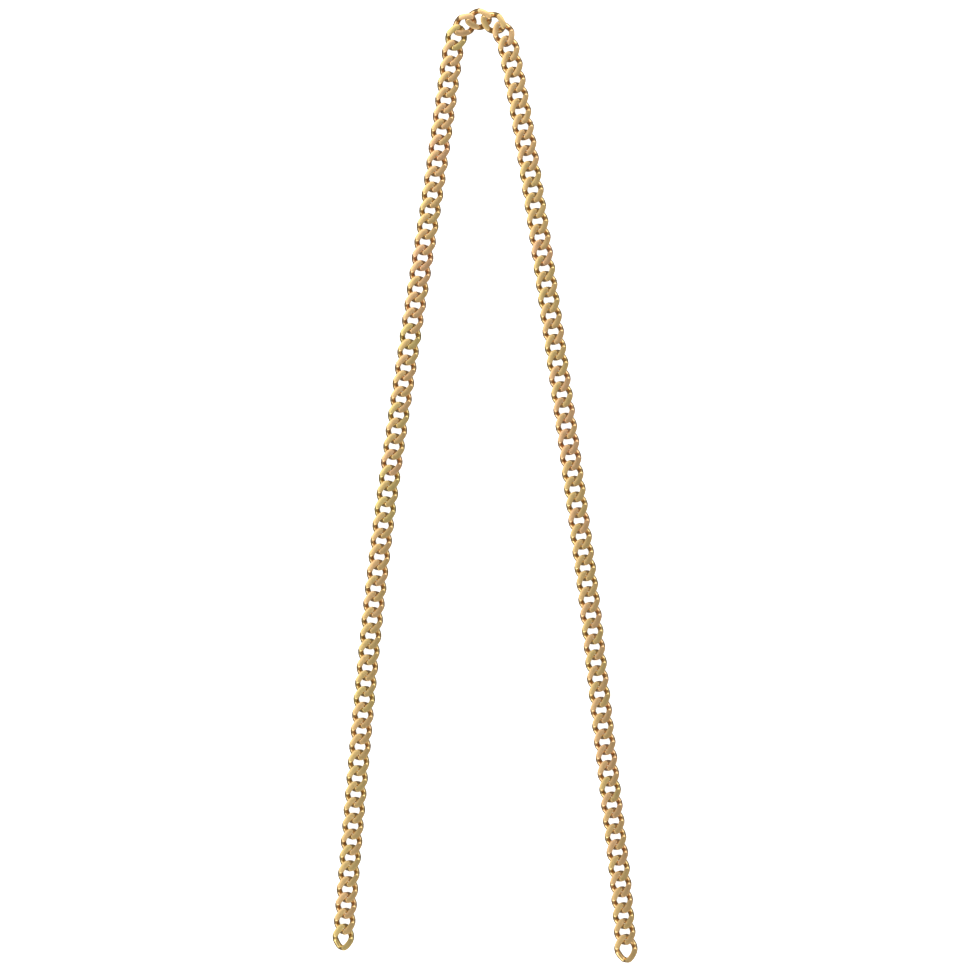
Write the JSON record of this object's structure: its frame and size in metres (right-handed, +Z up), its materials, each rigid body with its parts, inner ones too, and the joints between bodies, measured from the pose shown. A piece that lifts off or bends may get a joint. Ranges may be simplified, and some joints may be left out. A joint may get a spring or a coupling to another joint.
{
  "type": "pocket watch chain",
  "caption": "Plain gold-coloured curb chain for a pocket watch, of filed twisted oval links, laid flat as a narrow inverted V.",
  "frame": {"origin": "on the surface the chain lies on, under the middle of its box", "axes": "+Z up from the surface, +Y towards the point of the V, +X towards the leg that ends in the larger link"},
  "size_m": [0.0652, 0.204, 0.0017],
  "materials": {
    "gold": "filed and polished"
  },
  "bodies": {
    "pair_01": {"link_pair_01": "gold"},
    "pair_02": {"link_pair_02": "gold"},
    "pair_03": {"link_pair_03": "gold"},
    "pair_04": {"link_pair_04": "gold"},
    "pair_05": {"link_pair_05": "gold"},
    "pair_06": {"link_pair_06": "gold"},
    "pair_07": {"link_pair_07": "gold"},
    "pair_08": {"link_pair_08": "gold"},
    "pair_09": {"link_pair_09": "gold"},
    "pair_10": {"link_pair_10": "gold"},
    "pair_11": {"link_pair_11": "gold"},
    "pair_12": {"link_pair_12": "gold"},
    "pair_13": {"link_pair_13": "gold"},
    "pair_14": {"link_pair_14": "gold"},
    "pair_15": {"link_pair_15": "gold"},
    "pair_16": {"link_pair_16": "gold"},
    "pair_17": {"link_pair_17": "gold"},
    "pair_18": {"link_pair_18": "gold"},
    "pair_19": {"link_pair_19": "gold"},
    "pair_20": {"link_pair_20": "gold"},
    "pair_21": {"link_pair_21": "gold"},
    "pair_22": {"link_pair_22": "gold"},
    "pair_23": {"link_pair_23": "gold"},
    "pair_24": {"link_pair_24": "gold"},
    "pair_25": {"link_pair_25": "gold"},
    "pair_26": {"link_pair_26": "gold"},
    "pair_27": {"link_pair_27": "gold"},
    "pair_28": {"link_pair_28": "gold"},
    "pair_29": {"link_pair_29": "gold"},
    "pair_30": {"link_pair_30": "gold"},
    "pair_31": {"link_pair_31": "gold"},
    "pair_32": {"link_pair_32": "gold"},
    "pair_33": {"link_pair_33": "gold"},
    "pair_34": {"link_pair_34": "gold"},
    "pair_35": {"link_pair_35": "gold"},
    "pair_36": {"link_pair_36": "gold"},
    "pair_37": {"link_pair_37": "gold"},
    "pair_38": {"link_pair_38": "gold"},
    "pair_39": {"link_pair_39": "gold"},
    "pair_40": {"link_pair_40": "gold"},
    "pair_41": {"link_pair_41": "gold"},
    "pair_42": {"link_pair_42": "gold"},
    "pair_43": {"link_pair_43": "gold"},
    "pair_44": {"link_pair_44": "gold"},
    "pair_45": {"link_pair_45": "gold"},
    "pair_46": {"link_pair_46": "gold"},
    "pair_47": {"link_pair_47": "gold"},
    "pair_48": {"link_pair_48": "gold"},
    "pair_49": {"link_pair_49": "gold"},
    "pair_50": {"link_pair_50": "gold"},
    "pair_51": {"link_pair_51": "gold"},
    "pair_52": {"link_pair_52": "gold"},
    "pair_53": {"link_pair_53": "gold"},
    "pair_54": {"link_pair_54": "gold"},
    "pair_55": {"link_pair_55": "gold"},
    "pair_56": {"link_pair_56": "gold"},
    "pair_57": {"link_pair_57": "gold"},
    "pair_58": {"link_pair_58": "gold"},
    "pair_59": {"link_pair_59": "gold"},
    "pair_60": {"link_pair_60": "gold"}
  },
  "joints": [
    {"name": "bend_01_02", "type": "hinge", "parent": "pair_02", "child": "pair_01", "pos_m": [-0.02985, -0.09142, 0.00085], "axis": [0, 0, 1], "range_deg": [-36, 35]},
    {"name": "fold_02_03", "type": "hinge", "parent": "pair_03", "child": "pair_02", "pos_m": [-0.02927, -0.08464, 0.00085], "axis": [-0.9963, 0.0864, 0], "range_deg": [-26, 26]},
    {"name": "bend_03_04", "type": "hinge", "parent": "pair_04", "child": "pair_03", "pos_m": [-0.02868, -0.07787, 0.00085], "axis": [0, 0, -1], "range_deg": [-35, 36]},
    {"name": "fold_04_05", "type": "hinge", "parent": "pair_05", "child": "pair_04", "pos_m": [-0.02808, -0.07109, 0.00085], "axis": [0.9962, -0.0876, 0], "range_deg": [-26, 26]},
    {"name": "bend_05_06", "type": "hinge", "parent": "pair_06", "child": "pair_05", "pos_m": [-0.02748, -0.06432, 0.00085], "axis": [0, 0, 1], "range_deg": [-36, 35]},
    {"name": "fold_06_07", "type": "hinge", "parent": "pair_07", "child": "pair_06", "pos_m": [-0.02688, -0.05755, 0.00085], "axis": [-0.9961, 0.0887, 0], "range_deg": [-26, 26]},
    {"name": "bend_07_08", "type": "hinge", "parent": "pair_08", "child": "pair_07", "pos_m": [-0.02627, -0.05077, 0.00085], "axis": [0, 0, -1], "range_deg": [-35, 36]},
    {"name": "fold_08_09", "type": "hinge", "parent": "pair_09", "child": "pair_08", "pos_m": [-0.02564, -0.044, 0.00085], "axis": [0.9955, -0.095, 0], "range_deg": [-26, 26]},
    {"name": "bend_09_10", "type": "hinge", "parent": "pair_10", "child": "pair_09", "pos_m": [-0.02498, -0.03724, 0.00085], "axis": [0, 0, 1], "range_deg": [-36, 35]},
    {"name": "fold_10_11", "type": "hinge", "parent": "pair_11", "child": "pair_10", "pos_m": [-0.0243, -0.03047, 0.00085], "axis": [-0.9946, 0.1042, 0], "range_deg": [-26, 26]},
    {"name": "bend_11_12", "type": "hinge", "parent": "pair_12", "child": "pair_11", "pos_m": [-0.02356, -0.02371, 0.00085], "axis": [0, 0, -1], "range_deg": [-35, 36]},
    {"name": "fold_12_13", "type": "hinge", "parent": "pair_13", "child": "pair_12", "pos_m": [-0.02279, -0.01695, 0.00085], "axis": [0.9931, -0.117, 0], "range_deg": [-26, 26]},
    {"name": "bend_13_14", "type": "hinge", "parent": "pair_14", "child": "pair_13", "pos_m": [-0.02197, -0.0102, 0.00085], "axis": [0, 0, 1], "range_deg": [-36, 35]},
    {"name": "fold_14_15", "type": "hinge", "parent": "pair_15", "child": "pair_14", "pos_m": [-0.0211, -0.00346, 0.00085], "axis": [-0.9913, 0.132, 0], "range_deg": [-26, 26]},
    {"name": "bend_15_16", "type": "hinge", "parent": "pair_16", "child": "pair_15", "pos_m": [-0.02018, 0.00328, 0.00085], "axis": [0, 0, -1], "range_deg": [-30, 36]},
    {"name": "fold_16_17", "type": "hinge", "parent": "pair_17", "child": "pair_16", "pos_m": [-0.0192, 0.01001, 0.00085], "axis": [0.9893, -0.1462, 0], "range_deg": [-26, 26]},
    {"name": "bend_17_18", "type": "hinge", "parent": "pair_18", "child": "pair_17", "pos_m": [-0.0182, 0.01673, 0.00085], "axis": [0, 0, 1], "range_deg": [-36, 26]},
    {"name": "fold_18_19", "type": "hinge", "parent": "pair_19", "child": "pair_18", "pos_m": [-0.0172, 0.02346, 0.00085], "axis": [-0.9891, 0.1474, 0], "range_deg": [-26, 26]},
    {"name": "bend_19_20", "type": "hinge", "parent": "pair_20", "child": "pair_19", "pos_m": [-0.0162, 0.03018, 0.00085], "axis": [0, 0, -1], "range_deg": [-24, 36]},
    {"name": "fold_20_21", "type": "hinge", "parent": "pair_21", "child": "pair_20", "pos_m": [-0.01518, 0.03691, 0.00085], "axis": [0.9885, -0.1515, 0], "range_deg": [-26, 26]},
    {"name": "bend_21_22", "type": "hinge", "parent": "pair_22", "child": "pair_21", "pos_m": [-0.01414, 0.04363, 0.00085], "axis": [0, 0, 1], "range_deg": [-36, 22]},
    {"name": "fold_22_23", "type": "hinge", "parent": "pair_23", "child": "pair_22", "pos_m": [-0.01308, 0.05034, 0.00085], "axis": [-0.9875, 0.1574, 0], "range_deg": [-26, 26]},
    {"name": "bend_23_24", "type": "hinge", "parent": "pair_24", "child": "pair_23", "pos_m": [-0.01201, 0.05706, 0.00085], "axis": [0, 0, -1], "range_deg": [-20, 35]},
    {"name": "fold_24_25", "type": "hinge", "parent": "pair_25", "child": "pair_24", "pos_m": [-0.01099, 0.06378, 0.00085], "axis": [0.9891, -0.1471, 0], "range_deg": [-26, 26]},
    {"name": "bend_25_26", "type": "hinge", "parent": "pair_26", "child": "pair_25", "pos_m": [-0.01001, 0.07051, 0.00085], "axis": [0, 0, 1], "range_deg": [-35, 18]},
    {"name": "fold_26_27", "type": "hinge", "parent": "pair_27", "child": "pair_26", "pos_m": [-0.00907, 0.07725, 0.00085], "axis": [-0.9904, 0.1385, 0], "range_deg": [-26, 26]},
    {"name": "bend_27_28", "type": "hinge", "parent": "pair_28", "child": "pair_27", "pos_m": [-0.00813, 0.08398, 0.00085], "axis": [0, 0, -1], "range_deg": [-16, 35]},
    {"name": "fold_28_29", "type": "hinge", "parent": "pair_29", "child": "pair_28", "pos_m": [-0.00719, 0.09072, 0.00085], "axis": [0.9897, -0.1435, 0], "range_deg": [-26, 26]},
    {"name": "bend_29_30", "type": "hinge", "parent": "pair_30", "child": "pair_29", "pos_m": [-0.00569, 0.09733, 0.00085], "axis": [0, 0, 1], "range_deg": [-69, 3]},
    {"name": "bend_30_31", "type": "hinge", "parent": "pair_30", "child": "pair_31", "pos_m": [0.0003, 0.09981, 0.00085], "axis": [0, 0, 1], "range_deg": [-1, 71]},
    {"name": "fold_31_32", "type": "hinge", "parent": "pair_31", "child": "pair_32", "pos_m": [0.00471, 0.09504, 0.00085], "axis": [0.9469, 0.3214, 0], "range_deg": [-26, 26]},
    {"name": "bend_32_33", "type": "hinge", "parent": "pair_32", "child": "pair_33", "pos_m": [0.00608, 0.08838, 0.00085], "axis": [0, 0, -1], "range_deg": [-36, 16]},
    {"name": "fold_33_34", "type": "hinge", "parent": "pair_33", "child": "pair_34", "pos_m": [0.00728, 0.08169, 0.00085], "axis": [-0.9852, -0.1715, 0], "range_deg": [-26, 26]},
    {"name": "bend_34_35", "type": "hinge", "parent": "pair_34", "child": "pair_35", "pos_m": [0.00841, 0.07498, 0.00085], "axis": [0, 0, 1], "range_deg": [-18, 36]},
    {"name": "fold_35_36", "type": "hinge", "parent": "pair_35", "child": "pair_36", "pos_m": [0.00946, 0.06827, 0.00085], "axis": [0.9882, 0.1531, 0], "range_deg": [-26, 26]},
    {"name": "bend_36_37", "type": "hinge", "parent": "pair_36", "child": "pair_37", "pos_m": [0.01049, 0.06154, 0.00085], "axis": [0, 0, -1], "range_deg": [-36, 18]},
    {"name": "fold_37_38", "type": "hinge", "parent": "pair_37", "child": "pair_38", "pos_m": [0.01149, 0.05482, 0.00085], "axis": [-0.9895, -0.1442, 0], "range_deg": [-26, 26]},
    {"name": "bend_38_39", "type": "hinge", "parent": "pair_38", "child": "pair_39", "pos_m": [0.01245, 0.04809, 0.00085], "axis": [0, 0, 1], "range_deg": [-20, 36]},
    {"name": "fold_39_40", "type": "hinge", "parent": "pair_39", "child": "pair_40", "pos_m": [0.01341, 0.04135, 0.00085], "axis": [0.9902, 0.1395, 0], "range_deg": [-26, 26]},
    {"name": "bend_40_41", "type": "hinge", "parent": "pair_40", "child": "pair_41", "pos_m": [0.01435, 0.03462, 0.00085], "axis": [0, 0, -1], "range_deg": [-36, 22]},
    {"name": "fold_41_42", "type": "hinge", "parent": "pair_41", "child": "pair_42", "pos_m": [0.01529, 0.02789, 0.00085], "axis": [-0.9905, -0.1374, 0], "range_deg": [-26, 26]},
    {"name": "bend_42_43", "type": "hinge", "parent": "pair_42", "child": "pair_43", "pos_m": [0.01622, 0.02115, 0.00085], "axis": [0, 0, 1], "range_deg": [-26, 36]},
    {"name": "fold_43_44", "type": "hinge", "parent": "pair_43", "child": "pair_44", "pos_m": [0.01714, 0.01441, 0.00085], "axis": [0.9908, 0.1352, 0], "range_deg": [-26, 26]},
    {"name": "bend_44_45", "type": "hinge", "parent": "pair_44", "child": "pair_45", "pos_m": [0.01806, 0.00767, 0.00085], "axis": [0, 0, -1], "range_deg": [-36, 28]},
    {"name": "fold_45_46", "type": "hinge", "parent": "pair_45", "child": "pair_46", "pos_m": [0.01896, 0.00093, 0.00085], "axis": [-0.9911, -0.133, 0], "range_deg": [-26, 26]},
    {"name": "bend_46_47", "type": "hinge", "parent": "pair_46", "child": "pair_47", "pos_m": [0.01987, -0.00581, 0.00085], "axis": [0, 0, 1], "range_deg": [-34, 36]},
    {"name": "fold_47_48", "type": "hinge", "parent": "pair_47", "child": "pair_48", "pos_m": [0.02076, -0.01255, 0.00085], "axis": [0.9914, 0.1308, 0], "range_deg": [-26, 26]},
    {"name": "bend_48_49", "type": "hinge", "parent": "pair_48", "child": "pair_49", "pos_m": [0.02163, -0.01929, 0.00085], "axis": [0, 0, -1], "range_deg": [-36, 35]},
    {"name": "fold_49_50", "type": "hinge", "parent": "pair_49", "child": "pair_50", "pos_m": [0.02245, -0.02604, 0.00085], "axis": [-0.9933, -0.1154, 0], "range_deg": [-26, 26]},
    {"name": "bend_50_51", "type": "hinge", "parent": "pair_50", "child": "pair_51", "pos_m": [0.0232, -0.0328, 0.00085], "axis": [0, 0, 1], "range_deg": [-35, 36]},
    {"name": "fold_51_52", "type": "hinge", "parent": "pair_51", "child": "pair_52", "pos_m": [0.02391, -0.03956, 0.00085], "axis": [0.9943, 0.1063, 0], "range_deg": [-26, 26]},
    {"name": "bend_52_53", "type": "hinge", "parent": "pair_52", "child": "pair_53", "pos_m": [0.02465, -0.04632, 0.00085], "axis": [0, 0, -1], "range_deg": [-35, 36]},
    {"name": "fold_53_54", "type": "hinge", "parent": "pair_53", "child": "pair_54", "pos_m": [0.02539, -0.05308, 0.00085], "axis": [-0.9938, -0.1109, 0], "range_deg": [-26, 26]},
    {"name": "bend_54_55", "type": "hinge", "parent": "pair_54", "child": "pair_55", "pos_m": [0.02615, -0.05984, 0.00085], "axis": [0, 0, 1], "range_deg": [-36, 35]},
    {"name": "fold_55_56", "type": "hinge", "parent": "pair_55", "child": "pair_56", "pos_m": [0.02692, -0.0666, 0.00085], "axis": [0.9936, 0.1132, 0], "range_deg": [-26, 26]},
    {"name": "bend_56_57", "type": "hinge", "parent": "pair_56", "child": "pair_57", "pos_m": [0.02769, -0.07335, 0.00085], "axis": [0, 0, -1], "range_deg": [-35, 36]},
    {"name": "fold_57_58", "type": "hinge", "parent": "pair_57", "child": "pair_58", "pos_m": [0.02847, -0.08011, 0.00085], "axis": [-0.9939, -0.1104, 0], "range_deg": [-26, 26]},
    {"name": "bend_58_59", "type": "hinge", "parent": "pair_58", "child": "pair_59", "pos_m": [0.02916, -0.08687, 0.00085], "axis": [0, 0, 1], "range_deg": [-35, 36]},
    {"name": "fold_59_60", "type": "hinge", "parent": "pair_59", "child": "pair_60", "pos_m": [0.02972, -0.09365, 0.00085], "axis": [0.9971, 0.0763, 0], "range_deg": [-26, 26]}
  ]
}
